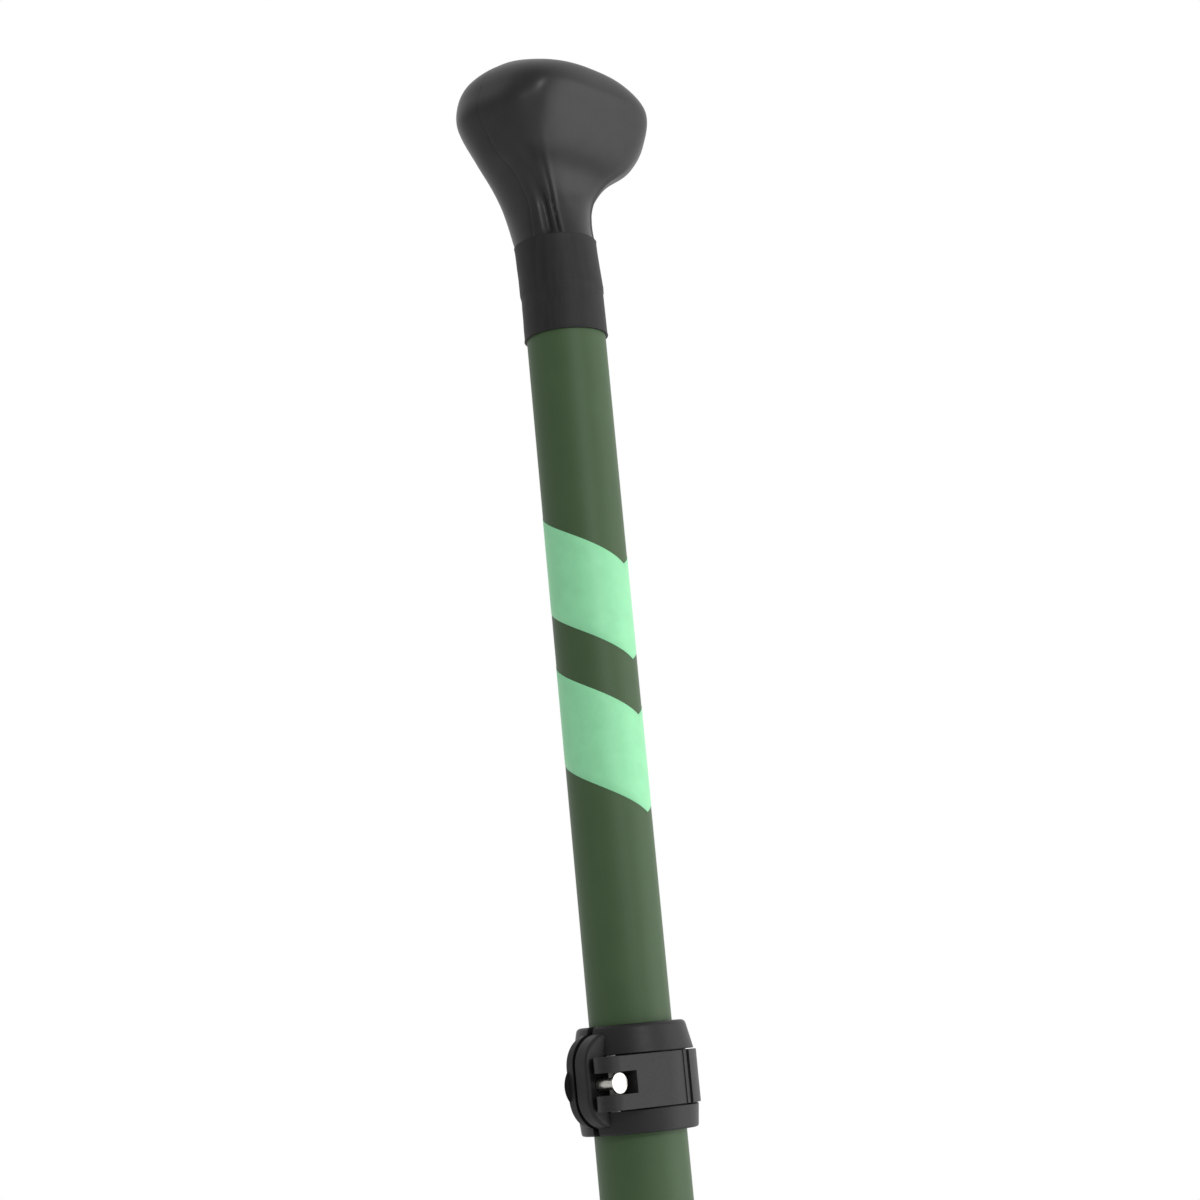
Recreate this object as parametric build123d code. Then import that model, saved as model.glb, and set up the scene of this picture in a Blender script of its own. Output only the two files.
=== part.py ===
from build123d import *
from math import atan2, degrees, hypot, pi, sqrt
import os

# Adjustable stand-up paddle: palm grip, handle tube, lever clamp, shaft tube and blade.
# Millimetres, +Z up along the shaft. The origin is on the shaft's axis where the lower hand holds.
# The palm grip and the blade lie across X; the blade leans towards -Y.

# Tubes
HANDLE_OD = 26.0
HANDLE_WALL = 1.0
SHAFT_OD = 29.0
SHAFT_WALL = 1.2
SHAFT_TOP = 326.0
SHAFT_BOTTOM = -467.0
HANDLE_TOP = 572.0
HANDLE_BOTTOM = 13.0
LOWER_TUBE_LENGTH = 326.0

# Palm grip: sections above the neck as height, half width (X), half depth (Y), lean to -Y.
# A crown, half an ellipsoid, stands on the last and widest one.
GRIP_SECTIONS = [
    (0.0, HANDLE_OD / 2, HANDLE_OD / 2, 0.0),
    (10.0, 14.2, 13.8, -0.8),
    (19.0, 19.5, 16.5, -0.4),
    (28.5, 28.8, 21.4, 1.6),
    (35.0, 33.6, 24.8, 2.2),
    (40.0, 34.8, 26.0, 2.2),
]
GRIP_CROWN = 22.3
GRIP_WALL = 3.2
GRIP_HOLLOW_FROM = 2
NECK_FOOT = 572.0
PLUG_DEPTH = 40.0
PLUG_CORE_D = 20.0
PLUG_CORE_LENGTH = 42.0

# Shrink sleeve over the joint of grip and tube
SLEEVE_BOTTOM = 555.8
SLEEVE_TOP = 588.3
SLEEVE_WALL = 0.65

# Chevron film decals
FILM = 0.08
CHEVRON_TURN = 11.3
CHEVRON_RISE = 0.528
CHEVRON_HEIGHT = 31.1
CHEVRON_APEX = {"stripe_upper": 478.0, "stripe_lower": 429.0}

# Lower end of the handle tube
BUSH_CLEARANCE = 0.1
BUSH_LENGTH = 11.7
BUSH_SLOT = 2.0
CAP_NECK_D = 20.0
CAP_FLANGE = 3.0
CAP_CLEARANCE = 0.6
CAP_PLUG = 20.0
RUN_FIT = 0.05
END_PLAY = 0.15

# Lever clamp, in its own axes: the slit faces -X and the bolt's head -Y
CLAMP_TURN = -9.1
COLLAR_BOTTOM = 300.0
COLLAR_HEIGHT = 33.0
COLLAR_R = 18.9
COLLAR_TOP_R = 16.9
COLLAR_FOOT_R = 18.2
LIP_CLEARANCE = 0.15
FLOOR_R = 15.9
COLLAR_TOP_ROUND = 1.6
COLLAR_FOOT_ROUND = 0.9
EDGE_BREAK = 0.25
SLIT = 2.6
EAR_GAP = 1.2
CHANNEL_END = 166.0
EAR_REACH = 25.1
EAR_HEIGHT = 29.0
EAR_CORNER = 9.8
EAR_ROUND = 1.3
HEAD_EAR = 6.0
NUT_EAR = 4.2
NUT_BOSS = 5.4
BOLT_X = -20.0
BOLT_Z = 315.6
BOLT_D = 4.6
BOLT_THREAD_D = 4.0
BOLT_HEAD_D = 6.2
BOLT_HEAD_REACH = 14.6
BOLT_HEAD_EDGE = 0.6
BOLT_WAIST_D = 3.7
BOLT_WAIST_START = 13.35
BOLT_HOLE_GAP = 0.15
NUT_WIDTH = 7.0
NUT_THICK = 3.2
PIN_Y = -11.7
PIN_D = 3.0
PIN_LENGTH = 16.9
LEVER_HEIGHT = 16.2
LEVER_GAP = 0.3
LEVER_R = 18.8
KNUCKLE_R = 5.2
CAM_OFFSET = 0.45
FORK_SLOT = 6.8
FORK_END_X = -15.0
FACE_ANGLE = 83.0
BRIDGE_FOOT_X = -19.0
ARM_LAP = 2.0
BEAD_START = 101.0
BEAD_R = 19.1
TAB_GROOVE = 2.2
GROOVE_DEPTH = 0.3
LEVER_EDGE = 0.2
TAB_START = 108.0
TAB_END = 149.0
TAB_R = 19.6
SHAFT_SLOT_LENGTH = 20.0
SHAFT_SLOT_RELIEF_D = 4.0

# Joint between the shaft tube and the blade's tube
SPIGOT_REACH = 60.0
SPIGOT_WALL = 1.5
SPIGOT_FIT = 0.05
BUTTON_UP = 30.0
BUTTON_D = 6.2
BUTTON_GAP = 0.15
BUTTON_TOP_R = 16.5
BUTTON_FOOT_R = 9.8
BUTTON_FLANGE_D = 8.0
BUTTON_FLANGE = 1.0
SPRING_WIDTH = 6.0
SPRING_THICK = 0.8
SPRING_DROP = 40.0
SPRING_BEND_Y = -2.0
SPRING_TIP_Y = 6.8
FOAM_LENGTH = 30.0
SHAFT_FOAM_GAP = 77.0
LOWER_FOAM_GAP = 43.0

# Blade
SOCKET_OD = 33.5
SOCKET_DEPTH = 56.0
SOCKET_FLOOR = 3.0
BLADE_RAKE = 10.0
BLADE_OUTLINE = [(15.0, 0.0), (33.0, 60.0), (78.0, 165.0), (102.5, 285.0), (90.0, 385.0), (48.0, 436.0)]
BLADE_LENGTH = 448.0
BLADE_FLARE = (0.35, 1.0)
BLADE_THICK = 4.4
SPINE_LENGTH = 300.0
SPINE_TIP_R = 2.6
RIVET_D = 4.0

# Two places count as the same within this
SAME = 0.01

# Worked out from the values above
HANDLE_R = HANDLE_OD / 2
HANDLE_BORE_R = HANDLE_R - HANDLE_WALL
SHAFT_R = SHAFT_OD / 2
SHAFT_BORE_R = SHAFT_R - SHAFT_WALL
COLLAR_TOP = COLLAR_BOTTOM + COLLAR_HEIGHT
CHANNEL_HALF = LEVER_HEIGHT / 2 + LEVER_GAP
LOWER_BOTTOM = SHAFT_BOTTOM - LOWER_TUBE_LENGTH
KNEE_Z = LOWER_BOTTOM - SOCKET_FLOOR
BUTTON_Z = SHAFT_BOTTOM + BUTTON_UP
SPIGOT_R = SHAFT_BORE_R - SPIGOT_FIT
SPIGOT_TOP = SHAFT_BOTTOM + SPIGOT_REACH
SPIGOT_BOTTOM = SHAFT_BOTTOM - SPIGOT_REACH
CLAMP = Rot(0, 0, CLAMP_TURN)


def rod(radius, bottom, top, x=0.0, y=0.0):
    """A cylinder along Z between two heights."""
    return Pos(x, y, bottom) * Cylinder(radius, top - bottom, align=(Align.CENTER, Align.CENTER, Align.MIN))


def tube(outer, inner, bottom, top):
    return rod(outer, bottom, top) - rod(inner, bottom, top)


def rod_y(radius, start, end, x, z):
    """A cylinder along Y between two places."""
    turned = Rot(-90, 0, 0) * Cylinder(radius, end - start, align=(Align.CENTER, Align.CENTER, Align.MIN))
    return Pos(x, start, z) * turned


def facing_y(x, y, z):
    """A sketch plane at a point, its normal along +Y."""
    return Plane(origin=(x, y, z), x_dir=(1, 0, 0), z_dir=(0, 1, 0))


def block(x0, x1, y0, y1, z0, z1):
    return Pos(x0, y0, z0) * Box(x1 - x0, y1 - y0, z1 - z0, align=(Align.MIN, Align.MIN, Align.MIN))


# Grip and handle


def grip_loft(sections, inset):
    rings = []
    for height, half_width, half_depth, lean in sections:
        place = Plane(origin=(0, -lean, SLEEVE_TOP + height))
        rings.append(place * Ellipse(half_width - inset, half_depth - inset))
    return loft(rings)


def grip_crown(inset):
    """The upper half of an ellipsoid on the widest section."""
    height, half_width, half_depth, lean = GRIP_SECTIONS[-1]
    size = (half_width - inset, half_depth - inset, GRIP_CROWN - inset)
    upper = Sphere(1) & block(-1, 1, -1, 1, 0, 1)
    return Pos(0, -lean, SLEEVE_TOP + height) * scale(upper, size)


def palm_grip():
    neck = rod(GRIP_SECTIONS[0][1], NECK_FOOT, SLEEVE_TOP)
    hollow = grip_loft(GRIP_SECTIONS[GRIP_HOLLOW_FROM:], GRIP_WALL) + grip_crown(GRIP_WALL)
    core = rod(PLUG_CORE_D / 2, NECK_FOOT, HANDLE_TOP + PLUG_CORE_LENGTH)
    return grip_loft(GRIP_SECTIONS, 0) + grip_crown(0) + neck - hollow - core


def grip_shells():
    whole = palm_grip()
    reach = 2 * max(section[1] for section in GRIP_SECTIONS)
    top = SLEEVE_TOP + GRIP_SECTIONS[-1][0] + 2 * GRIP_CROWN
    front = whole & block(-reach, reach, -reach, 0, NECK_FOOT, top)
    back = whole & block(-reach, reach, 0, reach, NECK_FOOT, top)
    return front, back


def grip_plug():
    insert = rod(HANDLE_BORE_R, HANDLE_TOP - PLUG_DEPTH, HANDLE_TOP)
    return insert + rod(PLUG_CORE_D / 2, HANDLE_TOP, HANDLE_TOP + PLUG_CORE_LENGTH)


def grip_sleeve():
    return tube(HANDLE_R + SLEEVE_WALL, HANDLE_R, SLEEVE_BOTTOM, SLEEVE_TOP)


def chevron(apex_z):
    """A band of film round the tube, lowest at the front and highest at the back."""
    quarter = CHEVRON_RISE * HANDLE_R * pi / 2
    reach = 2 * HANDLE_R
    rise = quarter * reach / HANDLE_R
    low = apex_z - CHEVRON_HEIGHT
    front = Polyline((0, apex_z), (reach, apex_z + rise), (reach, low + rise), (0, low),
                     (-reach, low + rise), (-reach, apex_z + rise), close=True)
    high = apex_z + 2 * quarter
    under = high - CHEVRON_HEIGHT
    back = Polyline((0, high), (reach, high - rise), (reach, under - rise), (0, under),
                    (-reach, under - rise), (-reach, high - rise), close=True)
    front_band = extrude(Plane.XZ * make_face(front), reach)
    back_band = extrude(Plane.XZ * make_face(back), -reach)
    film = tube(HANDLE_R + FILM, HANDLE_R, low - reach, high + reach)
    return Rot(0, 0, CHEVRON_TURN) * (film & (front_band + back_band))


def handle_end_cap():
    neck_top = HANDLE_BOTTOM
    neck_bottom = neck_top - BUSH_LENGTH - 2 * END_PLAY
    plug = rod(HANDLE_BORE_R, neck_top, neck_top + CAP_PLUG)
    neck = rod(CAP_NECK_D / 2, neck_bottom, neck_top)
    flange = rod(SHAFT_BORE_R - CAP_CLEARANCE, neck_bottom - CAP_FLANGE, neck_bottom)
    return plug + neck + flange


def guide_bush():
    outer = SHAFT_BORE_R - BUSH_CLEARANCE
    top = HANDLE_BOTTOM - END_PLAY
    ring = tube(outer, CAP_NECK_D / 2 + RUN_FIT, top - BUSH_LENGTH, top)
    return ring - block(0, outer + 1, -BUSH_SLOT / 2, BUSH_SLOT / 2, top - BUSH_LENGTH, top)


# Clamp


def polar(radius, angle):
    """A point in the clamp's plan; the angle runs from the slit round by the bolt's head."""
    return Vector(-radius, 0).rotate(Axis.Z, angle)


def sector(radius, start, end, bottom, top):
    """A wedge of the clamp's plan between two angles, for cutting."""
    middle = (start + end) / 2
    points = [(0, 0)] + [polar(radius, angle) for angle in (start, middle, end)]
    return Pos(0, 0, bottom) * extrude(make_face(Polyline(*points, close=True)), top - bottom)


def collar_body():
    """The collar before its channel is cut, with a rounded top edge and foot."""
    outline = Polyline(
        (0, COLLAR_BOTTOM), (COLLAR_FOOT_R, COLLAR_BOTTOM), (COLLAR_R, BOLT_Z - CHANNEL_HALF),
        (COLLAR_R, BOLT_Z + CHANNEL_HALF), (COLLAR_TOP_R, COLLAR_TOP), (0, COLLAR_TOP), close=True)
    face = make_face(outline)
    edge_of = {COLLAR_TOP: COLLAR_TOP_ROUND, COLLAR_BOTTOM: COLLAR_FOOT_ROUND}
    for level, radius in edge_of.items():
        corner = face.vertices().filter_by_position(Axis.Y, level - SAME, level + SAME).sort_by(Axis.X)[-1]
        face = fillet(corner, radius)
    return revolve(Plane.XZ * face, Axis.Z)


def lever_channel():
    """The groove that the lever closes into, its mouth broken by a small chamfer."""
    low = BOLT_Z - CHANNEL_HALF
    high = BOLT_Z + CHANNEL_HALF
    outline = Polyline(
        (FLOOR_R, low), (COLLAR_R - EDGE_BREAK, low), (COLLAR_R + EDGE_BREAK, low - 2 * EDGE_BREAK),
        (2 * COLLAR_R, low), (2 * COLLAR_R, high), (COLLAR_R + EDGE_BREAK, high + 2 * EDGE_BREAK),
        (COLLAR_R - EDGE_BREAK, high), (FLOOR_R, high), close=True)
    ring = revolve(Plane.XZ * make_face(outline), Axis.Z)
    keep_ear = block(-3 * COLLAR_R, 0, -HEAD_EAR, 3 * COLLAR_R, COLLAR_BOTTOM, COLLAR_TOP)
    return (ring & sector(4 * COLLAR_R, 0, CHANNEL_END, COLLAR_BOTTOM, COLLAR_TOP)) - keep_ear


def ear(start, end, rounded):
    """One D-shaped ear between two distances from the slit's middle plane, its outer rim rounded."""
    width = 2 * (EAR_REACH - SHAFT_R)
    outline = RectangleRounded(width, EAR_HEIGHT, EAR_CORNER)
    middle = COLLAR_BOTTOM + COLLAR_HEIGHT / 2
    plate = extrude(facing_y(-SHAFT_R, start, middle) * outline, end - start)
    return fillet(plate.edges().group_by(Axis.Y)[rounded], EAR_ROUND)


def hexagon(width, start, end):
    return extrude(facing_y(BOLT_X, start, BOLT_Z) * RegularPolygon(width / sqrt(3), 6), end - start)


def slit():
    """The cut through the collar, which closes up towards the ears' tips."""
    side = [(0, SLIT / 2), (-COLLAR_R, SLIT / 2), (-EAR_REACH, EAR_GAP / 2), (-2 * EAR_REACH, EAR_GAP / 2)]
    outline = side + [(x, -y) for x, y in reversed(side)]
    return Pos(0, 0, COLLAR_BOTTOM) * extrude(make_face(Polyline(*outline, close=True)), COLLAR_HEIGHT)


def clamp_collar():
    ears = ear(-HEAD_EAR, 0, 0) + ear(0, NUT_EAR, -1)
    boss = facing_y(BOLT_X, NUT_EAR - EAR_ROUND, BOLT_Z) * Circle(NUT_WIDTH)
    pad = facing_y(BOLT_X, NUT_BOSS, BOLT_Z) * Circle(NUT_WIDTH / sqrt(3))
    body = collar_body() - lever_channel() + ears + loft([boss, pad])
    body -= rod(SHAFT_R, COLLAR_BOTTOM, SHAFT_TOP)
    body -= rod(HANDLE_R + LIP_CLEARANCE, SHAFT_TOP, COLLAR_TOP)
    body -= slit()
    body -= rod_y(BOLT_D / 2 + BOLT_HOLE_GAP, -HEAD_EAR, 0, BOLT_X, BOLT_Z)
    body -= rod_y(BOLT_THREAD_D / 2, 0, NUT_BOSS, BOLT_X, BOLT_Z)
    body -= hexagon(NUT_WIDTH, NUT_BOSS - NUT_THICK, NUT_BOSS)
    return CLAMP * body


def tension_nut():
    nut = hexagon(NUT_WIDTH, NUT_BOSS - NUT_THICK, NUT_BOSS)
    return CLAMP * (nut - rod_y(BOLT_THREAD_D / 2, 0, NUT_BOSS, BOLT_X, BOLT_Z))


def draw_bolt():
    """Turned in one piece: thread, shank, waist and a head that is coned underneath."""
    shank_r = BOLT_D / 2
    waist_end = BOLT_HEAD_REACH - BOLT_HEAD_EDGE
    outline = Polyline(
        (0, -NUT_BOSS), (BOLT_THREAD_D / 2, -NUT_BOSS), (BOLT_THREAD_D / 2, SLIT / 2), (shank_r, SLIT / 2),
        (shank_r, BOLT_WAIST_START), (BOLT_WAIST_D / 2, BOLT_WAIST_START), (BOLT_HEAD_D / 2, waist_end),
        (BOLT_HEAD_D / 2, BOLT_HEAD_REACH), (0, BOLT_HEAD_REACH), close=True)
    turned = Pos(BOLT_X, 0, BOLT_Z) * Rot(90, 0, 0) * revolve(Plane.XZ * make_face(outline), Axis.Z)
    return CLAMP * (turned - rod(PIN_D / 2, BOLT_Z - BOLT_D, BOLT_Z + BOLT_D, BOLT_X, PIN_Y))


def lever_pin():
    return CLAMP * rod(PIN_D / 2, BOLT_Z - PIN_LENGTH / 2, BOLT_Z + PIN_LENGTH / 2, BOLT_X, PIN_Y)


def clamp_lever():
    """Cam knuckle, a flat face tangent to it, the curved arm and the raised finger tab."""
    bottom = BOLT_Z - LEVER_HEIGHT / 2
    top = BOLT_Z + LEVER_HEIGHT / 2
    heel = Vector(BOLT_X, PIN_Y + CAM_OFFSET)
    knuckle = rod(KNUCKLE_R, bottom, top, heel.X, heel.Y)
    inner = FLOOR_R + LEVER_GAP
    bridge_points = [heel + polar(KNUCKLE_R, FACE_ANGLE), polar(LEVER_R, FACE_ANGLE), (0, 0),
                     (BRIDGE_FOOT_X, -HEAD_EAR - LEVER_GAP)]
    bridge = Pos(0, 0, bottom) * extrude(make_face(Polyline(*bridge_points, close=True)), LEVER_HEIGHT)
    arm = rod(LEVER_R, bottom, top) & sector(4 * LEVER_R, FACE_ANGLE, TAB_START + ARM_LAP, bottom, top)
    bead = rod(BEAD_R, bottom, top) & sector(4 * BEAD_R, BEAD_START, TAB_START - TAB_GROOVE, bottom, top)
    groove = rod(2 * TAB_R, bottom, top) & sector(4 * TAB_R, TAB_START - TAB_GROOVE, TAB_START, bottom, top)
    tab = rod(TAB_R, bottom, top) & sector(4 * TAB_R, TAB_START, TAB_END, bottom, top)
    solid = knuckle + (bridge + arm + bead - (groove - rod(LEVER_R - GROOVE_DEPTH, bottom, top)) + tab)
    lever = solid - rod(inner, bottom, top)
    lever -= block(-2 * EAR_REACH, 0, -HEAD_EAR - RUN_FIT, 0, bottom, top)
    ends = lever.faces().group_by(Axis.Z)
    rims = (ends[0] + ends[-1]).edges().filter_by(lambda edge: edge.length > 2 * LEVER_EDGE)
    lever = fillet(rims, LEVER_EDGE)
    lever -= block(BOLT_X - 2 * KNUCKLE_R, FORK_END_X, -BOLT_HEAD_REACH - KNUCKLE_R, -HEAD_EAR + LEVER_GAP,
                   BOLT_Z - FORK_SLOT / 2, BOLT_Z + FORK_SLOT / 2)
    lever -= rod(PIN_D / 2 + RUN_FIT, bottom, top, BOLT_X, PIN_Y)
    swing = hypot(BOLT_X, PIN_Y) - inner
    heel_side = sector(4 * LEVER_R, 0, degrees(atan2(PIN_Y, BOLT_X)) % 180, bottom, top)
    lever -= heel_side - rod(swing, bottom, top, BOLT_X, PIN_Y)
    return CLAMP * lever


# Shaft, joint and blade


def shaft_tube():
    body = tube(SHAFT_R, SHAFT_BORE_R, SHAFT_BOTTOM, SHAFT_TOP)
    slot_end = SHAFT_TOP - SHAFT_SLOT_LENGTH
    slot = block(-2 * SHAFT_R, 0, -SLIT / 2, SLIT / 2, slot_end, SHAFT_TOP)
    relief = Pos(-SHAFT_R, 0, slot_end) * Rot(0, 90, 0) * Cylinder(SHAFT_SLOT_RELIEF_D / 2, SHAFT_R)
    button_hole = rod_y(BUTTON_D / 2 + BUTTON_GAP, -2 * SHAFT_R, 0, 0, BUTTON_Z)
    return body - CLAMP * slot - CLAMP * relief - button_hole


def joint_spigot():
    body = tube(SPIGOT_R, SPIGOT_R - SPIGOT_WALL, SPIGOT_BOTTOM, SPIGOT_TOP)
    return body - rod_y(BUTTON_D / 2 + BUTTON_GAP, -2 * SHAFT_R, 0, 0, BUTTON_Z)


def snap_button():
    foot = BUTTON_FOOT_R + BUTTON_FLANGE
    flange = rod_y(BUTTON_FLANGE_D / 2, -foot, -BUTTON_FOOT_R, 0, BUTTON_Z)
    crown = BUTTON_D / 4
    stem = rod_y(BUTTON_D / 2, -BUTTON_TOP_R, -BUTTON_FOOT_R, 0, BUTTON_Z)
    return flange + fillet(stem.edges().group_by(Axis.Y)[0], crown)


def button_spring():
    """A leaf bent into a V: the button is riveted to one leg, the other bears on the far wall."""
    front = (-BUTTON_FOOT_R + SPRING_THICK / 2, BUTTON_Z + BUTTON_D)
    knee = (-BUTTON_FOOT_R + SPRING_THICK / 2, BUTTON_Z - BUTTON_D)
    bend = (SPRING_BEND_Y, BUTTON_Z - SPRING_DROP)
    tip = (SPRING_TIP_Y, BUTTON_Z)
    path = Polyline(front, knee, bend, tip)
    strip = make_face(offset(path, SPRING_THICK / 2).edges())
    return extrude(Plane.YZ * strip, SPRING_WIDTH / 2, both=True)


def lower_tube():
    body = tube(SHAFT_R, SHAFT_BORE_R, LOWER_BOTTOM, SHAFT_BOTTOM)
    return body - blade_rivet()


def blade_rivet():
    z = LOWER_BOTTOM + SOCKET_DEPTH / 2
    return Pos(0, 0, z) * Rot(0, 90, 0) * Cylinder(RIVET_D / 2, SOCKET_OD)


def blade():
    half = Spline(*BLADE_OUTLINE, (0, BLADE_LENGTH), tangents=(BLADE_FLARE, (-1.0, 0.0)))
    other = mirror(half, Plane.YZ)
    outline = make_face([half, other, Line((-BLADE_OUTLINE[0][0], 0), (BLADE_OUTLINE[0][0], 0))])
    plate = extrude(Plane.XZ * mirror(outline, Plane.XZ), BLADE_THICK / 2, both=True)
    taper = Cone(SPINE_TIP_R, SOCKET_OD / 2, SPINE_LENGTH, align=(Align.CENTER, Align.CENTER, Align.MAX))
    paddle = Rot(-BLADE_RAKE, 0, 0) * (plate + taper) + Sphere(SOCKET_OD / 2)
    socket = rod(SOCKET_OD / 2, 0, SOCKET_DEPTH + SOCKET_FLOOR)
    whole = Pos(0, 0, KNEE_Z) * (paddle + socket)
    return whole - rod(SHAFT_R, LOWER_BOTTOM, LOWER_BOTTOM + 2 * SOCKET_DEPTH) - blade_rivet()


def foam_plug(bottom):
    return rod(SHAFT_BORE_R, bottom, bottom + FOAM_LENGTH)


def main():
    os.makedirs("parts", exist_ok=True)
    front, back = grip_shells()
    nodes = {
        "grip_shell_front": front,
        "grip_shell_back": back,
        "grip_plug": grip_plug(),
        "grip_sleeve": grip_sleeve(),
        "handle_tube": tube(HANDLE_R, HANDLE_BORE_R, HANDLE_BOTTOM, HANDLE_TOP),
        "handle_end_cap": handle_end_cap(),
        "guide_bush": guide_bush(),
        "clamp_collar": clamp_collar(),
        "clamp_lever": clamp_lever(),
        "lever_pin": lever_pin(),
        "draw_bolt": draw_bolt(),
        "tension_nut": tension_nut(),
        "shaft_tube": shaft_tube(),
        "shaft_foam_plug": foam_plug(SPIGOT_TOP + SHAFT_FOAM_GAP),
        "joint_spigot": joint_spigot(),
        "snap_button": snap_button(),
        "button_spring": button_spring(),
        "lower_tube": lower_tube(),
        "lower_foam_plug": foam_plug(SPIGOT_BOTTOM - LOWER_FOAM_GAP - FOAM_LENGTH),
        "blade": blade(),
        "blade_rivet": blade_rivet(),
    }
    for name, apex_z in CHEVRON_APEX.items():
        nodes[name] = chevron(apex_z)
    for name, shape in nodes.items():
        export_step(shape, f"parts/{name}.step")


main()
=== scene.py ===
import math

import bmesh
import bpy
import numpy as np
from bpy.props import FloatProperty, FloatVectorProperty, PointerProperty
from mathutils import Matrix, Vector, noise


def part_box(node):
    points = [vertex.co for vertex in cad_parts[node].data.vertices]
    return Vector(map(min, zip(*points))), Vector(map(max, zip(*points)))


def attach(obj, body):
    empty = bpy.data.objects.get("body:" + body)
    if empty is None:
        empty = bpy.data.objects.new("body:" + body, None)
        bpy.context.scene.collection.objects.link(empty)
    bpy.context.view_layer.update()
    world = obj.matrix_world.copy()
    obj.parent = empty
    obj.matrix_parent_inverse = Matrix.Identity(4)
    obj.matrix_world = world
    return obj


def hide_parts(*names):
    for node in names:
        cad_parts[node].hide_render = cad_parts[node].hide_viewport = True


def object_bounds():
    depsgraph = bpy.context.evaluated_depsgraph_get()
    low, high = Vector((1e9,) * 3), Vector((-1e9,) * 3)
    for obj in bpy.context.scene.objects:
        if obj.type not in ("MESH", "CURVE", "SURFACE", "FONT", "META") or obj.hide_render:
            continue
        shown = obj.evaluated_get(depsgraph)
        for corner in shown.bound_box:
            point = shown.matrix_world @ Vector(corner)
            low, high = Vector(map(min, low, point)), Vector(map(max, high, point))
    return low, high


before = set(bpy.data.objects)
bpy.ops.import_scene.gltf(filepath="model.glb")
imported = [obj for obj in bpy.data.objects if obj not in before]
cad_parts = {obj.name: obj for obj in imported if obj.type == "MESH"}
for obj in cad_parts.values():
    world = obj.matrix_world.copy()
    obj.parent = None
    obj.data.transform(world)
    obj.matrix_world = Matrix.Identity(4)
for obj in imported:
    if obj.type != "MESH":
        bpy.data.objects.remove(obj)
CAD_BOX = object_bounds()

bl_info = {
    "name": "Adjustable Paddle",
    "version": (1, 0, 0),
    "blender": (4, 5, 0),
    "location": "3D View > Sidebar > Paddle",
    "description": "Dresses an adjustable stand-up paddle: grip, sleeve, chevrons, clamp, tubes and blade",
    "category": "Object",
}

MM = 0.001
AXIS_Z = Vector((0, 0, 1))

# Heights and radii that come from the CAD, in metres
TUBE_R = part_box("handle_tube")[1].x
SLEEVE_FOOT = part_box("grip_sleeve")[0].z
SLEEVE_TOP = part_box("grip_sleeve")[1].z
TUBE_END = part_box("handle_tube")[1].z
SOCKET_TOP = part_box("blade")[1].z
SOCKET_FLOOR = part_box("lower_tube")[0].z
LOWER_TUBE_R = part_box("lower_tube")[1].x
STRIPE_FOOT = {"upper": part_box("stripe_upper")[0].z, "lower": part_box("stripe_lower")[0].z}

# Palm grip, in millimetres: height above the sleeve, half width, depth to the front, depth to the back
GRIP_RINGS = [
    (-16.3, 12.95, 12.95, 12.95),
    (-8.0, 12.95, 12.95, 12.95),
    (-2.0, 12.9, 12.1, 14.1),
    (2.0, 12.7, 11.1, 15.5),
    (6.0, 12.9, 10.6, 16.5),
    (11.0, 13.4, 10.6, 17.5),
    (15.7, 15.4, 11.8, 18.0),
    (21.0, 19.6, 15.2, 18.5),
    (27.8, 28.8, 22.9, 18.4),
    (38.1, 34.9, 28.9, 21.4),
    (46.4, 32.3, 31.4, 23.3),
    (52.9, 28.1, 25.6, 21.6),
    (57.6, 21.7, 15.2, 15.5),
    (60.2, 14.0, 6.4, 9.0),
    (61.3, 0.0, 0.0, 0.0),
]
GRIP_ROWS = 130
GRIP_COLUMNS = 200
COLUMN_CROWDING = 0.93
SEAM_GAP = 0.02
# How square the section is: 2 is an ellipse. The front's flat face comes and goes at these heights.
ROUND_POWER = 2.45
FLAT_FRONT_POWER = 4.0
FLAT_FROM = (10, 28)
FLAT_UNTIL = (46, 57)
# The slanting direction (X, -Y) in which the front reaches as far whether it is flat or round
SIDE_REACH = (0.6157, 0.788)
SHELL_WALL = 3.2
# The hollow opens between these heights; then the inside is this share of the outside
HOLLOW_OPENS = (20, 32)
HOLLOW_WIDTH = 0.91
HOLLOW_DEPTH = 0.878
HOLLOW_SINK = 0.102

# Moulded lines at both ends of the grip's front half, in millimetres and degrees.
# The angle runs from the end of the grip round to its front, given at heights above the sleeve.
LINE_HEIGHTS = (0.0, 6.0, 11.0, 19.0, 24.0, 32.0)
RIDGE_ANGLES = (48.0, 44.5, 41.0, 37.0, 35.5, 36.0)
RIB_ANGLES = (39.0, 35.0, 31.5, 26.5, 24.0, 21.0)
VALLEY_ANGLES = (28.0, 25.0, 22.5, 18.0, 15.0, 11.0)

# Points round a tube's ring
RING_SIDES = 192

# Blade, in millimetres: half width at distances along its own axis from the knee
BLADE_LENGTH = 448.0
BLADE_WIDTHS = [
    (0, 15.0), (60, 33.0), (165, 78.0), (285, 102.5), (385, 90.0), (436, 48.0), (BLADE_LENGTH, 0.0)]
BLADE_RAKE = math.radians(10)
SOCKET_R = 16.75
SPINE_END = 300.0
SPINE_TIP_R = 2.6

# Studio: the room is dimmest above the camera and a little to its left, and brightest opposite
ROOM_BRIGHT = 1.2
ROOM_DIM = 0.38
DARK_SIDE_TURN = math.radians(30)
DARK_SIDE_RISE = math.radians(28)
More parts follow.
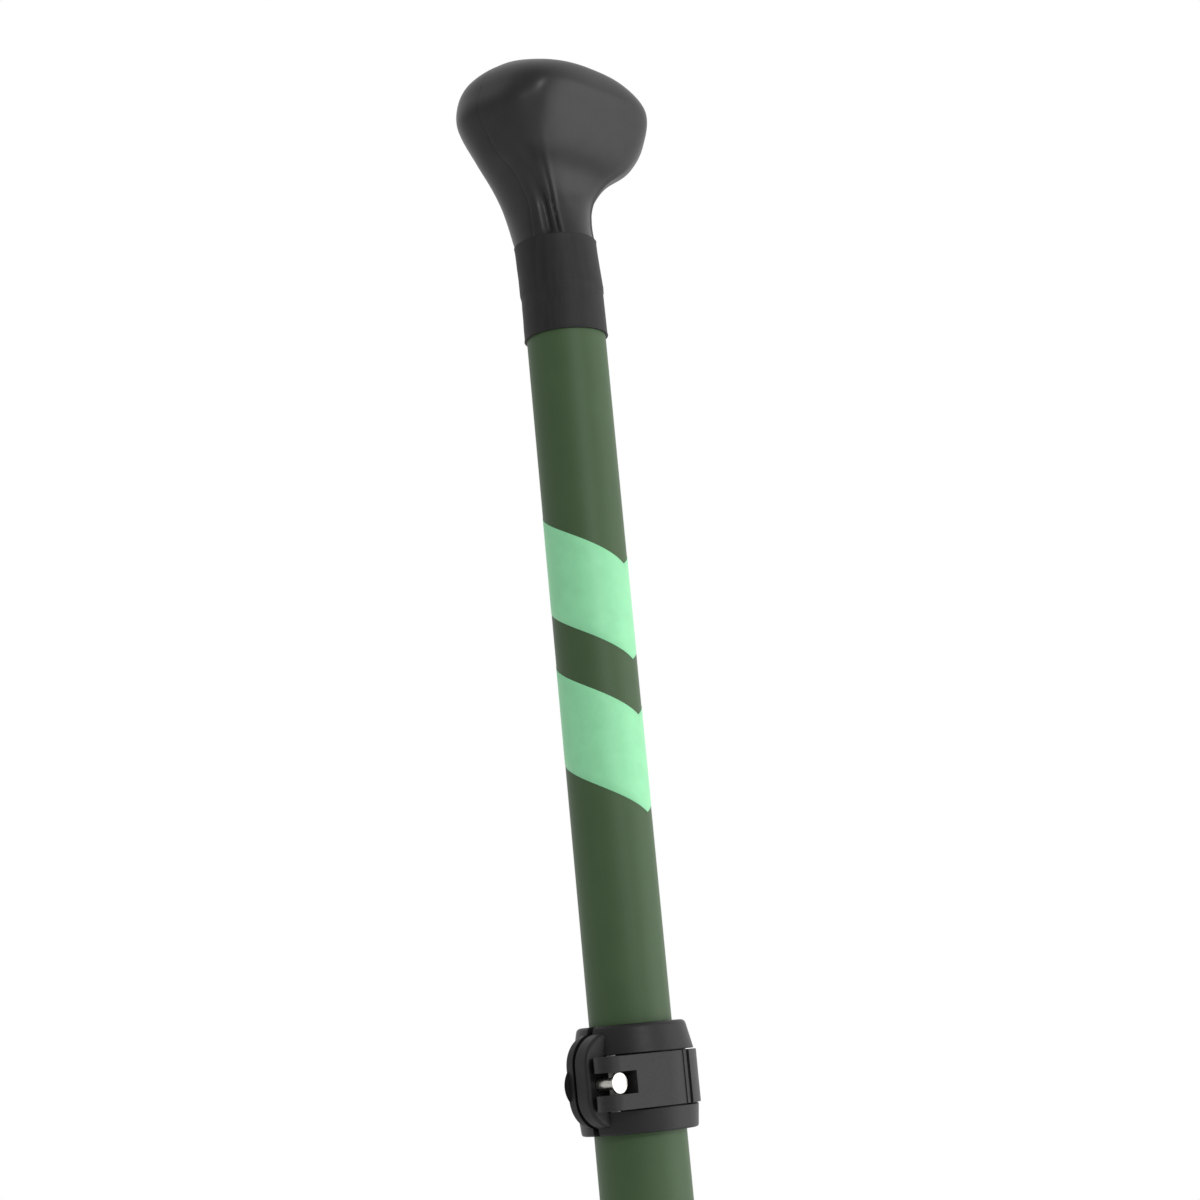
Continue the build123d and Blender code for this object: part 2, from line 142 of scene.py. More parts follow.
# Lights: place to the camera's right, towards it and up from what they face; size; watts
KEY_LIGHT = ((1.7, 0.2, -0.45), (1.3, 2.4), 14)
SPARK_LIGHT = ((0.55, 1.2, 0.2), (0.26, 0.26), 4)
KEY_TARGET = 0.45
FLOOR_SIDES = 96
FLOOR_THICK = 0.01
FLOOR_GAP = 0.5 * MM

FLOOR_R = 4.0

# Camera
CAMERA_PLACE = (-0.6039, -0.4756, 0.3277)
CAMERA_TURN = math.radians(-52)
CAMERA_TILT = 0.18049
CAMERA_ROLL = 0.09409
CAMERA_LENS = 72.675


# Sizes and colours that a user would change


class PaddleShape(bpy.types.PropertyGroup):
    """Sizes of the pieces that are built here around the CAD."""

    ridge_height: FloatProperty(
        name="Grip ridge", description="Height of the moulded line beside the grip's front face",
        default=0.55 * MM, unit="LENGTH")
    groove_depth: FloatProperty(
        name="Grip groove", description="Depth of the thin groove beside that line",
        default=0.4 * MM, unit="LENGTH")
    valley_depth: FloatProperty(
        name="Grip valley", description="Depth of the hollow between the moulded lines and the seam",
        default=1.5 * MM, unit="LENGTH")
    seam_depth: FloatProperty(
        name="Grip seam", description="Depth of the joint line between the grip's two halves",
        default=0.22 * MM, unit="LENGTH")
    sleeve_wall: FloatProperty(
        name="Sleeve wall", description="Thickness of the shrink sleeve over the handle tube",
        default=0.55 * MM, unit="LENGTH")
    film: FloatProperty(
        name="Decal film", description="Thickness of the chevron film", default=0.08 * MM, unit="LENGTH")
    chevron_height: FloatProperty(
        name="Chevron height", description="Height of each chevron band along the tube",
        default=31.1 * MM, unit="LENGTH")
    chevron_rise: FloatProperty(
        name="Chevron rise", description="Climb of a band for each length that it goes round the tube",
        default=0.528)
    chevron_turn: FloatProperty(
        name="Chevron turn", description="Place of the chevrons' points round the tube",
        default=math.radians(11.3), subtype="ANGLE")
    blade_thickness: FloatProperty(
        name="Blade thickness", description="Thickness of the blade's plate beside the spine",
        default=4.4 * MM, unit="LENGTH")
    blade_edge: FloatProperty(
        name="Blade edge", description="Thickness of the blade just inside its rim",
        default=2.2 * MM, unit="LENGTH")


class PaddleFinish(bpy.types.PropertyGroup):
    """Colours of the paddle."""

    grip: FloatVectorProperty(
        name="Grip", description="Satin moulded plastic of the palm grip",
        default=(0.019, 0.019, 0.0195), subtype="COLOR", min=0, max=1)
    sleeve: FloatVectorProperty(
        name="Sleeve", description="Matt shrink film", default=(0.017, 0.017, 0.017),
        subtype="COLOR", min=0, max=1)
    tube: FloatVectorProperty(
        name="Tube paint", description="Matt paint on the tubes", default=(0.050, 0.100, 0.038),
        subtype="COLOR", min=0, max=1)
    stripe: FloatVectorProperty(
        name="Chevrons", description="Printed film", default=(0.31, 0.79, 0.43),
        subtype="COLOR", min=0, max=1)
    clamp: FloatVectorProperty(
        name="Clamp", description="Glass-filled nylon of the collar", default=(0.013, 0.013, 0.013),
        subtype="COLOR", min=0, max=1)
    lever: FloatVectorProperty(
        name="Lever", description="Glass-filled nylon of the lever", default=(0.022, 0.022, 0.021),
        subtype="COLOR", min=0, max=1)
    blade: FloatVectorProperty(
        name="Blade", description="Moulded blade", default=(0.020, 0.020, 0.021),
        subtype="COLOR", min=0, max=1)
    steel: FloatVectorProperty(
        name="Bolt steel", description="Turned bright steel", default=(0.62, 0.61, 0.57),
        subtype="COLOR", min=0, max=1)


# Shader maths


class Wire:
    """An output socket; arithmetic on it adds Math nodes."""

    def __init__(self, finish, socket):
        self.finish = finish
        self.socket = socket

    def maths(self, operation, first, second=0.0):
        return self.finish.node("ShaderNodeMath", {"operation": operation}, {0: first, 1: second})

    def __add__(self, other):
        return self.maths("ADD", self, other)

    __radd__ = __add__

    def __sub__(self, other):
        return self.maths("SUBTRACT", self, other)

    def __rsub__(self, other):
        return self.maths("SUBTRACT", other, self)

    def __mul__(self, other):
        return self.maths("MULTIPLY", self, other)

    __rmul__ = __mul__

    def between(self, low, high):
        """0 below low, 1 above high and smooth in between."""
        return self.finish.node(
            "ShaderNodeMapRange", {"interpolation_type": "SMOOTHSTEP"},
            {"Value": self, "From Min": low, "From Max": high})


class Graph:
    """The node tree of a material or of the studio's surround."""

    def __init__(self, owner):
        owner.use_nodes = True
        self.tree = owner.node_tree
        self.tree.nodes.clear()

    def node(self, kind, settings, sockets, output=0):
        """Any node: its type, its settings, then the values or links of its sockets."""
        made = self.tree.nodes.new(kind)
        for key, value in settings.items():
            if key == "stops":
                ramp = made.color_ramp
                while len(ramp.elements) < len(value):
                    ramp.elements.new(1.0)
                for element, (position, colour) in zip(ramp.elements, value):
                    element.position = position
                    element.color = colour
            else:
                setattr(made, key, value)
        for key, value in sockets.items():
            self.feed(made.inputs[key], value)
        return None if output is None else Wire(self, made.outputs[output])

    def feed(self, socket, value):
        if isinstance(value, Wire):
            self.tree.links.new(value.socket, socket)
        elif isinstance(value, (int, float)) and hasattr(socket.default_value, "__len__"):
            socket.default_value = (value,) * len(socket.default_value)
        elif hasattr(value, "__len__") and len(value) == 3 and len(socket.default_value) == 4:
            socket.default_value = (*value, 1.0)
        else:
            socket.default_value = value


class Finish(Graph):
    """A material made of one Principled shader and the nodes that feed it."""

    def __init__(self, name, **constants):
        self.material = bpy.data.materials.new(name)
        super().__init__(self.material)
        self.shader = self.tree.nodes.new("ShaderNodeBsdfPrincipled")
        for socket, value in constants.items():
            self.shader.inputs[socket.replace("_", " ")].default_value = value
        self.node("ShaderNodeOutputMaterial", {}, {"Surface": Wire(self, self.shader.outputs[0])}, None)
        self.place = self.node("ShaderNodeTexCoord", {}, {}, "Object")

    def set(self, **wires):
        for socket, wire in wires.items():
            self.feed(self.shader.inputs[socket.replace("_", " ")], wire)
        return self.material

    def stretched(self, x, y, z):
        """The object's own coordinates, squeezed so that a pattern runs long or short on an axis."""
        return self.node("ShaderNodeVectorMath", {"operation": "MULTIPLY"}, {0: self.place, 1: (x, y, z)})

    def grain(self, size, detail=3.0, place=None, roughness=0.55):
        """Noise from 0 to 1 whose lumps are about this size in millimetres."""
        return self.node(
            "ShaderNodeTexNoise", {},
            {"Vector": place or self.place, "Scale": 1 / (size * MM),
             "Detail": detail, "Roughness": roughness})

    def cells(self, size, feature="F1"):
        """Cell distances, 0 in the middle of each cell, of about this size in millimetres."""
        return self.node(
            "ShaderNodeTexVoronoi", {"feature": feature}, {"Vector": self.place, "Scale": 1 / (size * MM)},
            "Distance")

    def axis(self, name):
        return self.node("ShaderNodeSeparateXYZ", {}, {0: self.place}, name)

    def blend(self, low, high, share):
        """A colour between two."""
        return self.node(
            "ShaderNodeMix", {"data_type": "RGBA"}, {0: share, 6: low, 7: high}, 2)

    def relief(self, height, depth, strength=1.0):
        """A bump whose height of 0 to 1 stands for this depth in millimetres."""
        return self.node(
            "ShaderNodeBump", {}, {"Height": height, "Distance": depth * MM, "Strength": strength})


def tinted(colour, factor, add=0.0):
    return tuple(min(1.0, channel * factor + add) for channel in colour)


# Finishes


def satin_grip(colour):
    """Moulded plastic: even satin, scuffs and dust on the crown, a very fine spark texture."""
    finish = Finish("grip_plastic", Specular_IOR_Level=0.36)
    clouds = finish.grain(11.0, 4.0)
    spark = finish.grain(0.35, 2.0)
    scuffs = finish.grain(1.1, 5.0, finish.stretched(1.0, 6.0, 0.5)).between(0.62, 0.78)
    crown = finish.axis("Z").between(SLEEVE_TOP + 30 * MM, SLEEVE_TOP + 58 * MM)
    wear = scuffs * crown
    worn = finish.blend(tinted(colour, 0.86), tinted(colour, 1.15), clouds.between(0.3, 0.7))
    return finish.set(
        Base_Color=finish.blend(worn, tinted(colour, 1.6, 0.004), wear * 0.6),
        Roughness=0.33 + clouds * 0.07 + spark * 0.05 + wear * 0.12,
        Normal=finish.relief(spark * 0.6 + clouds * 0.4, 0.012))


def shrunk_sleeve(colour):
    """Heat-shrink film: matt, drawn tight in fine lines along the tube."""
    finish = Finish("sleeve_film", Specular_IOR_Level=0.32)
    drawn = finish.grain(1.6, 4.0, finish.stretched(1.0, 1.0, 0.12))
    fine = finish.grain(0.4, 2.0)
    return finish.set(
        Base_Color=finish.blend(tinted(colour, 0.85), tinted(colour, 1.2), drawn.between(0.3, 0.7)),
        Roughness=0.5 + drawn * 0.1 + fine * 0.08,
        Normal=finish.relief(drawn * 0.7 + fine * 0.3, 0.02))


def tube_paint(name, colour, rub_from, rub_to):
    """Matt powder paint: orange peel, slight clouding, and rub marks where another part slides."""
    finish = Finish(name, Specular_IOR_Level=0.4)
    height = finish.axis("Z")
    clouds = finish.grain(26.0, 4.0)
    peel = finish.grain(0.75, 2.0)
    lines = finish.grain(0.5, 4.0, finish.stretched(1.0, 1.0, 0.02)).between(0.6, 0.72)
    slid = height.between(rub_from, rub_from + 12 * MM) * (1 - height.between(rub_to - 12 * MM, rub_to))
    rub = lines * slid
    painted = finish.blend(tinted(colour, 0.94), tinted(colour, 1.06), clouds.between(0.3, 0.7))
    return finish.set(
        Base_Color=finish.blend(painted, tinted(colour, 1.25, 0.01), rub * 0.25),
        Roughness=0.46 + clouds * 0.06 + peel * 0.06 - rub * 0.08,
        Normal=finish.relief(peel, 0.01))


def printed_film(colour):
    """Decal film: flat colour, faint print mottle, a little smoother than the paint."""
    finish = Finish("stripe_film", Specular_IOR_Level=0.4)
    mottle = finish.grain(5.0, 5.0)
    speck = finish.grain(0.3, 1.0)
    return finish.set(
        Base_Color=finish.blend(tinted(colour, 0.97), tinted(colour, 1.03), mottle.between(0.3, 0.7)),
        Roughness=0.42 + mottle * 0.05 + speck * 0.05,
        Normal=finish.relief(speck, 0.006))


def filled_nylon(name, colour, mottle, depth, shine):
    """Glass-filled nylon: fibre flecks near the skin, sink and flow marks, slightly uneven gloss."""
    finish = Finish(name, Specular_IOR_Level=0.4)
    flow = finish.grain(2.6, 5.0, finish.stretched(1.0, 1.0, 2.2), 0.6)
    fibre = finish.grain(0.28, 3.0, finish.stretched(0.5, 0.5, 1.4))
    fleck = fibre.between(0.52, 0.72) * flow.between(0.35, 0.65)
    return finish.set(
        Base_Color=finish.blend(tinted(colour, 0.85), tinted(colour, 1.0 + mottle, 0.003), fleck),
        Roughness=shine + flow * 0.14 + fibre * 0.1,
        Normal=finish.relief(flow * 0.75 + fibre * 0.25, depth))


def turned_steel(name, colour, centre, shine):
    """Bright turned steel: rings round the bolt's axis."""
    finish = Finish(name, Metallic=1.0)
    offset = finish.node(
        "ShaderNodeVectorMath", {"operation": "SUBTRACT"}, {0: finish.place, 1: centre})
    flat = finish.node("ShaderNodeVectorMath", {"operation": "MULTIPLY"}, {0: offset, 1: (1.0, 0.0, 1.0)})
    radius = finish.node("ShaderNodeVectorMath", {"operation": "LENGTH"}, {0: flat}, "Value")
    along = finish.axis("Y")
    turned = finish.node("ShaderNodeCombineXYZ", {}, {"X": radius, "Y": along})
    rings = finish.grain(0.12, 3.0, turned)
    stain = finish.grain(1.5, 3.0)
    return finish.set(
        Base_Color=finish.blend(tinted(colour, 0.8), tinted(colour, 1.05), stain.between(0.25, 0.6)),
        Roughness=shine + rings * 0.12 + stain * 0.05,
        Normal=finish.relief(rings, 0.004))


def drawn_metal(name, colour, shine, lines):
    """Rolled, ground or drawn metal: fine lines along one axis and faint stains."""
    finish = Finish(name, Metallic=1.0)
    streaks = finish.grain(0.35, 4.0, finish.stretched(*lines))
    stain = finish.grain(6.0, 4.0)
    return finish.set(
        Base_Color=finish.blend(tinted(colour, 0.82), tinted(colour, 1.05), stain.between(0.3, 0.7)),
        Roughness=shine + streaks * 0.14 + stain * 0.06,
        Normal=finish.relief(streaks, 0.006))


def plain_plastic(name, colour, shine):
    """Unpainted moulded plastic inside the tubes: drag lines along Z and a mild sheen."""
    finish = Finish(name, Specular_IOR_Level=0.4)
    drag = finish.grain(0.7, 4.0, finish.stretched(1.0, 1.0, 0.06))
    clouds = finish.grain(4.0, 3.0)
    return finish.set(
        Base_Color=finish.blend(tinted(colour, 0.88), tinted(colour, 1.08), clouds.between(0.3, 0.7)),
        Roughness=shine + drag * 0.12 + clouds * 0.05,
        Normal=finish.relief(drag, 0.015))


def cell_foam(colour):
    """Closed-cell foam: round cells, with painted shade darkening the hollow middle of each cell, so the
    walls look paler.
    """
    finish = Finish("foam_cells", Specular_IOR_Level=0.2)
    cell = finish.cells(1.3)
    fine = finish.cells(0.5)
    wall = cell.between(0.25, 0.6)
    return finish.set(
        # Painted shade: each cell's colour darkens to three quarters towards its middle, where the bump
        # sinks.
        Base_Color=finish.blend(tinted(colour, 0.75), colour, wall),
        Roughness=0.85 + fine * 0.1,
        Normal=finish.relief(wall * 0.7 + fine * 0.3, 0.25))


def blade_nylon(colour):
    """Reinforced blade: long flow lines down the spine, fibre flecks, and scratches near the tip."""
    finish = Finish("blade_plastic", Specular_IOR_Level=0.42)
    height = finish.axis("Z")
    flow = finish.grain(9.0, 5.0, finish.stretched(1.0, 1.0, 0.25), 0.6)
    fibre = finish.grain(0.6, 3.0, finish.stretched(1.0, 1.0, 0.3))
    tip = 1 - height.between(CAD_BOX[0].z + 15 * MM, CAD_BOX[0].z + 190 * MM)
    across = finish.grain(1.8, 5.0, finish.stretched(0.15, 1.0, 1.6)).between(0.6, 0.7)
    down = finish.grain(1.4, 5.0, finish.stretched(1.3, 1.0, 0.12)).between(0.62, 0.71)
    scratch = (across + down) * tip
    moulded = finish.blend(tinted(colour, 0.85), tinted(colour, 1.2), flow.between(0.3, 0.7))
    flecked = finish.blend(moulded, tinted(colour, 1.5, 0.004), fibre.between(0.6, 0.75) * 0.6)
    return finish.set(
        Base_Color=finish.blend(flecked, (0.085, 0.085, 0.083), scratch * 0.4),
        Roughness=0.36 + flow * 0.12 + fibre * 0.08 + scratch * 0.15,
        Normal=finish.relief(fibre * 0.5 + flow * 0.5 - scratch * 0.3, 0.03))


def studio_floor():
    finish = Finish("floor_card", Specular_IOR_Level=0.3)
    clouds = finish.grain(400.0, 3.0)
    fibre = finish.grain(3.0, 3.0)
    return finish.set(
        Base_Color=finish.blend((0.84, 0.84, 0.84), (0.88, 0.88, 0.875), clouds),
        Roughness=0.6 + fibre * 0.1,
        Normal=finish.relief(fibre, 0.05))


def wear_on(nodes, material):
    """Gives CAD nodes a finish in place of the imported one."""
    for name in nodes:
        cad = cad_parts[name]
        if not cad.material_slots:
            cad.data.materials.append(material)
        for slot in cad.material_slots:
            slot.material = material


# Mesh code


def step(low, high, value):
    """0 below low, 1 above high and smooth in between."""
    share = np.clip((np.asarray(value, float) - low) / (high - low), 0, 1)
    return share * share * (3 - 2 * share)


def hill(value, width):
    """1 in the middle, falling away to nothing a few widths off."""
    return np.exp(-((np.asarray(value, float) / width) ** 2))


def smooth_through(points, count):
    """Evenly spaced places on a smooth curve through the points, which ends square to the last one."""
    points = np.asarray(points, float)
    mirror = np.where(np.arange(points.shape[1]) == 0, 1, -1)
    ahead = np.vstack([points[0] * 2 - points[1], points, points[-2] * mirror])
    gaps = np.linalg.norm(np.diff(ahead[:, :3], axis=0), axis=1)
    along = np.concatenate([[0], np.cumsum(gaps)])
    slopes = (ahead[2:] - ahead[:-2]) / (along[2:] - along[:-2])[:, None]
    start = along[1:-1]
    places = np.linspace(start[0], start[-1], count)
    index = np.clip(np.searchsorted(start, places, side="right") - 1, 0, len(points) - 2)
    span = (start[index + 1] - start[index])[:, None]
    share = ((places - start[index])[:, None]) / span
    cube, square = share ** 3, share ** 2
    return ((2 * cube - 3 * square + 1) * points[index] + (cube - 2 * square + share) * span * slopes[index]
            + (3 * square - 2 * cube) * points[index + 1] + (cube - square) * span * slopes[index + 1])


def skin(name, loops, ends, crease=35.0):
    """A mesh through rows of closed loops. ends is "joined", "capped" or "folded" at the first row."""
    count = len(loops[0])
    flesh = bmesh.new()
    rows = [[flesh.verts.new(point) for point in loop] for loop in loops]
    pairs = list(zip(rows, rows[1:]))
    if ends == "joined":
        pairs.append((rows[-1], rows[0]))
    for lower, upper in pairs:
        for i in range(count):
            after = (i + 1) % count
            flesh.faces.new((lower[i], lower[after], upper[after], upper[i]))
    if ends == "capped":
        flesh.faces.new(rows[0])
        flesh.faces.new(rows[-1])
    if ends == "folded":
        for i in range(count // 2 - 1):
            flesh.faces.new((rows[0][i], rows[0][count - 1 - i], rows[0][count - 2 - i], rows[0][i + 1]))
    bmesh.ops.remove_doubles(flesh, verts=flesh.verts, dist=1e-7)
    bmesh.ops.dissolve_degenerate(flesh, edges=flesh.edges, dist=1e-8)
    bmesh.ops.recalc_face_normals(flesh, faces=flesh.faces)
    for face in flesh.faces:
        face.smooth = True
    for edge in flesh.edges:
        edge.smooth = edge.calc_face_angle(0.0) < math.radians(crease)
    mesh = bpy.data.meshes.new(name)
    flesh.to_mesh(mesh)
    flesh.free()
    piece = bpy.data.objects.new(name, mesh)
    bpy.context.scene.collection.objects.link(piece)
    return piece


def finished(piece, material, body, slot, *nodes):
    piece.data.materials.append(material)
    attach(piece, body)
    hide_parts(*nodes)


def circle(radius, z, count=RING_SIDES):
    """Points of a ring. radius is one number, or one for each point."""
    turn = np.linspace(0, 2 * math.pi, count, endpoint=False)
    return np.stack([radius * np.cos(turn), radius * np.sin(turn), np.full(count, z)], axis=1)


def line_height(height, starts, stops):
    """How much of a moulded line is left at a height: full low down, gone higher up."""
    return 1 - step(starts, stops, height)


def grip_relief(shape, height, x, y):
    """How far the grip's skin stands out at a point, in millimetres: moulded lines and the seam."""
    end_angle = np.degrees(np.arctan2(np.maximum(-y, 0), np.abs(x)))
    front = y < 0
    ridge, rib, valley = (
        np.interp(height, LINE_HEIGHTS, angles) for angles in (RIDGE_ANGLES, RIB_ANGLES, VALLEY_ANGLES))
    lines = (
        shape.ridge_height / MM * hill(end_angle - ridge, 3.2) * line_height(height, 17, 33)
        - shape.groove_depth / MM * hill(end_angle - ridge + 3.9, 1.9) * line_height(height, 13, 26)
        + 0.7 * shape.ridge_height / MM * hill(end_angle - rib, 3.6) * line_height(height, 14, 27)
        - shape.valley_depth / MM * hill(end_angle - valley, 7.0) * line_height(height, 15, 34))
    dimple = -0.8 * hill(end_angle - 30, 7) * hill(height - 39, 7)
    notch = step(54.5, 56.5, height) * (1 - step(59.5, 60.5, height))
    seam_keep = 0.12 + 0.88 * (1 - step(28, 33, height)) + 2.6 * notch * (x < 0)
    nub = 0.45 * hill(height - 30.5, 0.7) * (x < 0)
    seam = -(shape.seam_depth / MM * seam_keep + nub) * np.exp(-np.abs(y) / 0.4)
    return (np.where(front, lines + dimple, 0) + seam) * step(-1.5, 1.5, height)


def flattened(width, depth, base, power):
    """The depth that a squarer section needs to reach as far on the slant as the round one does."""
    def terms(half, share, of):
        return (half * share) ** (of / (of - 1))

    reach = sum(terms(half, share, base) for half, share in zip((width, depth), SIDE_REACH))
    reach = reach ** ((base - 1) / base)
    left = max(reach ** (power / (power - 1)) - terms(width, SIDE_REACH[0], power), 0)
    return left ** ((power - 1) / power) / SIDE_REACH[1]


def grip_half(shape, name, side):
    """One half of the palm grip, front (-1) or back (1): outer skin, seam faces and inner skin."""
    rows = smooth_through(GRIP_RINGS, GRIP_ROWS)
    even = np.linspace(0, 1, GRIP_COLUMNS)
    turn = math.pi * (even - COLUMN_CROWDING * np.sin(2 * math.pi * even) / (2 * math.pi))
    loops = []
    for height, width, front, back in rows:
        squarer = step(4, 26, height) * (1 - 0.6 * step(52, 61, height))
        power = 2 + (ROUND_POWER - 2) * float(squarer)
        bow = front if side < 0 else back
        if side < 0 and front > 0:
            flat = float(step(*FLAT_FROM, height) * (1 - step(*FLAT_UNTIL, height)))
            base, power = power, power + (FLAT_FRONT_POWER - power) * flat
            bow = flattened(width, front, base, power)
        across = np.sign(np.cos(turn)) * np.abs(np.cos(turn)) ** (2 / power)
        out = side * np.abs(np.sin(turn)) ** (2 / power)
        out[0] = out[-1] = 0
        outer = np.stack([width * across, bow * out], axis=1)
        length = np.maximum(np.linalg.norm(outer, axis=1), 1e-6)
        fade = step(0, 9, width)
        relief = grip_relief(shape, height, outer[:, 0], outer[:, 1]) * fade
        outer *= (1 + relief / length)[:, None]
        outer[[0, -1], 1] = side * SEAM_GAP
        hollow = step(*HOLLOW_OPENS, height)
        thin_x = (1 - hollow) * (width - SHELL_WALL) + hollow * width * HOLLOW_WIDTH
        thin_y = (1 - hollow) * (bow - SHELL_WALL) + hollow * bow * HOLLOW_DEPTH
        inner = np.stack([thin_x * across, thin_y * out], axis=1)[::-1]
        inner[[0, -1], 1] = side * SEAM_GAP
        under = height - hollow * (height - HOLLOW_OPENS[1]) * HOLLOW_SINK
        loop = [(x * MM, y * MM, SLEEVE_TOP + height * MM) for x, y in outer]
        loop += [(x * MM, y * MM, SLEEVE_TOP + under * MM) for x, y in inner]
        loops.append(loop)
    return skin(name, loops, "folded", 50.0)


def shrink_sleeve(shape):
    """Film drawn over the end of the tube: a ridge over the tube's end, a crease, and a lip at each edge."""
    turn = np.linspace(0, 2 * math.pi, RING_SIDES, endpoint=False)
    uneven = np.array([noise.noise(Vector((math.cos(a) * 2, math.sin(a) * 2, 5.0))) for a in turn])
    right = hill((np.degrees(turn) - 320 + 180) % 360 - 180, 55)
    left = hill((np.degrees(turn) - 230 + 180) % 360 - 180, 60)
    wall = shape.sleeve_wall / MM
    foot, top, end = SLEEVE_FOOT / MM, SLEEVE_TOP / MM, TUBE_END / MM
    outer = []
    for z in np.concatenate([
            [foot, foot + 0.12, foot + 0.35], np.linspace(foot + 0.8, end - 2.6, 22),
            np.linspace(end - 2.4, end + 1, 22), np.linspace(end + 1.2, top - 1, 26),
            [top - 0.7, top - 0.4, top - 0.15, top]]):
        lip = 0.22 * math.exp(-(z - foot) / 0.5) + (0.14 + 0.2 * left) * math.exp((z - top) / 0.6)
        ridge = 0.3 * math.exp(-max(z - end, 0) / 7) * float(step(end - 2.4, end, z))
        crease = 0.14 * right * float(hill(z - end + 1.5, 0.3))
        wave = uneven * 0.07 * math.sin(z * 0.9)
        edge = -0.16 * (z in (foot, top))
        drift = 0.05 * np.sin(turn * 9 + z * 0.05) * math.exp((z - top) / 5)
        grow = 0.12 * float(step(end, foot, z)) if z < end else 0.0
        outer.append(circle(TUBE_R / MM + wall + lip + ridge + crease + wave + edge + drift + grow, z))
    inner = [circle(TUBE_R / MM + 0.03, z) for z in np.linspace(top, foot, 20)]
    loops = [(loop + (0, 1.1 * float(step(end - 4, top + 4, loop[0][2])), 0)) * MM for loop in outer + inner]
    return skin("shrink_sleeve", loops, "joined", 60.0)


def chevron(shape, name, foot):
    """A band of film wrapped round the tube, lowest in front and highest behind."""
    count = 256
    turn = np.linspace(-math.pi, math.pi, count, endpoint=False)
    rise = shape.chevron_rise * TUBE_R * np.abs(turn)
    place = turn - math.pi / 2 + shape.chevron_turn
    skin_r = TUBE_R + 0.005 * MM
    film_r = TUBE_R + shape.film
    edge = 0.03 * MM
    sections = [(skin_r, 0), (film_r - edge, 0), (film_r, edge)]
    sections += [(film_r, share * shape.chevron_height) for share in np.linspace(0.1, 0.9, 9)]
    sections += [(film_r, shape.chevron_height - edge), (film_r - edge, shape.chevron_height)]
    sections += [(skin_r, shape.chevron_height)]
    sections += [(skin_r, share * shape.chevron_height) for share in np.linspace(0.8, 0.2, 4)]
    loops = [
        np.stack([radius * np.cos(place), radius * np.sin(place), foot + up + rise], axis=1)
        for radius, up in sections]
    return skin(name, loops, "joined", 80.0)


def blade_half_width(distance):
    """Half width of the blade at a distance along its axis, rounded off at the tip."""
    outline = smooth_through(BLADE_WIDTHS, 600)
    return float(np.interp(distance, outline[:, 0], outline[:, 1]))


def blade_section(shape, distance, across):
    """Front and back faces of the blade's section, from -1 to 1 across, in millimetres."""
    half = blade_half_width(distance) if distance > 0 else 0.0
    taper = max(0.0, min(1.0, distance / SPINE_END))
    spine = SOCKET_R + (SPINE_TIP_R - SOCKET_R) * taper if distance > 0 else SOCKET_R
    reach = max(half, spine)
    x = reach * across
    rounded = np.sqrt(np.maximum(spine ** 2 - x ** 2, 0))
    thin = shape.blade_edge / MM / 2
    thick = shape.blade_thickness / MM / 2
    near_rim = np.clip(np.abs(x) / max(half, 1e-6), 0, 1)
    plate = thin + (thick - thin) * (1 - near_rim ** 2)
    rim = thin * 1.35 * hill(np.maximum(half - np.abs(x), 0) - 2.2, 2.0)
    rim_round = np.sqrt(np.clip(1 - np.clip((np.abs(x) - half + 1.6) / 1.6, 0, 1) ** 2, 0, 1))
    plate = np.maximum(plate, rim) * rim_round * (np.abs(x) <= half)
    fillet = 3.0 * (1 - taper) + 0.8
    merged = np.where(
        distance > 0,
        (rounded ** 3 + plate ** 3) ** (1 / 3) + fillet * hill(np.abs(x) - spine, 0.55 * spine) * (
            1 - taper) * step(0, 70, distance) * 0.35 * (np.abs(x) <= half - 1),
        rounded)
    dish = 3.2 * step(60, 300, distance) * near_rim ** 2
    return x, merged, dish


def blade_place(distance):
    """The middle and the lean of the blade's section at a distance from the knee."""
    places = np.linspace(-60, BLADE_LENGTH, 2033)
    lean = BLADE_RAKE * step(-8, 26, places)
    stride = places[1] - places[0]
    knee = np.searchsorted(places, 0)
    y = np.cumsum(-np.sin(lean)) * stride
    z = np.cumsum(-np.cos(lean)) * stride
    return (np.interp(distance, places, y - y[knee]), np.interp(distance, places, z - z[knee]),
            np.interp(distance, places, lean))


def moulded_blade(shape):
    """Socket, spine and plate in one skin, with the bore for the lower tube."""
    half = 96
    across = np.sin(np.linspace(-math.pi / 2, math.pi / 2, half + 1))
    knee = SOCKET_FLOOR / MM - 3.0
    socket = (SOCKET_TOP / MM - knee)
    stations = np.concatenate([
        [-socket, -socket + 0.3, -socket + 1.0, -socket + 2.2], np.linspace(-socket + 5, -6, 14),
        np.linspace(-3, 60, 46), np.linspace(62, 420, 170),
        BLADE_LENGTH - 28 * np.linspace(1, 0, 60)[1:] ** 2])
    bore_r = LOWER_TUBE_R / MM + 0.02
    loops = []
    for z in np.linspace(SOCKET_FLOOR / MM, SOCKET_TOP / MM, 6):
        loops.append([(bore_r * a, -bore_r * math.sqrt(1 - a * a), z) for a in across[:-1]]
                     + [(-bore_r * a, bore_r * math.sqrt(1 - a * a), z) for a in across[:-1]])
    for distance in stations:
        x, thick, dish = blade_section(shape, distance, across)
        y, z, lean = blade_place(distance)
        round_off = {0: 0.94, 1: 0.972, 2: 0.99}.get(int(np.where(stations == distance)[0][0]), 1.0)
        face = [(a * round_off, (dish_here - t) * round_off) for a, t, dish_here in zip(x, thick, dish)]
        back = [(a * round_off, (dish_here + t * 0.9 if distance > 0 else t) * round_off)
                for a, t, dish_here in zip(x[::-1], thick[::-1], dish[::-1])]
        loops.append([(a, y + up * math.cos(lean), knee + z - up * math.sin(lean))
                      for a, up in face[:-1] + back[:-1]])
    return skin("blade_moulding", np.array(loops) * MM, "capped", 45.0)


# Operators


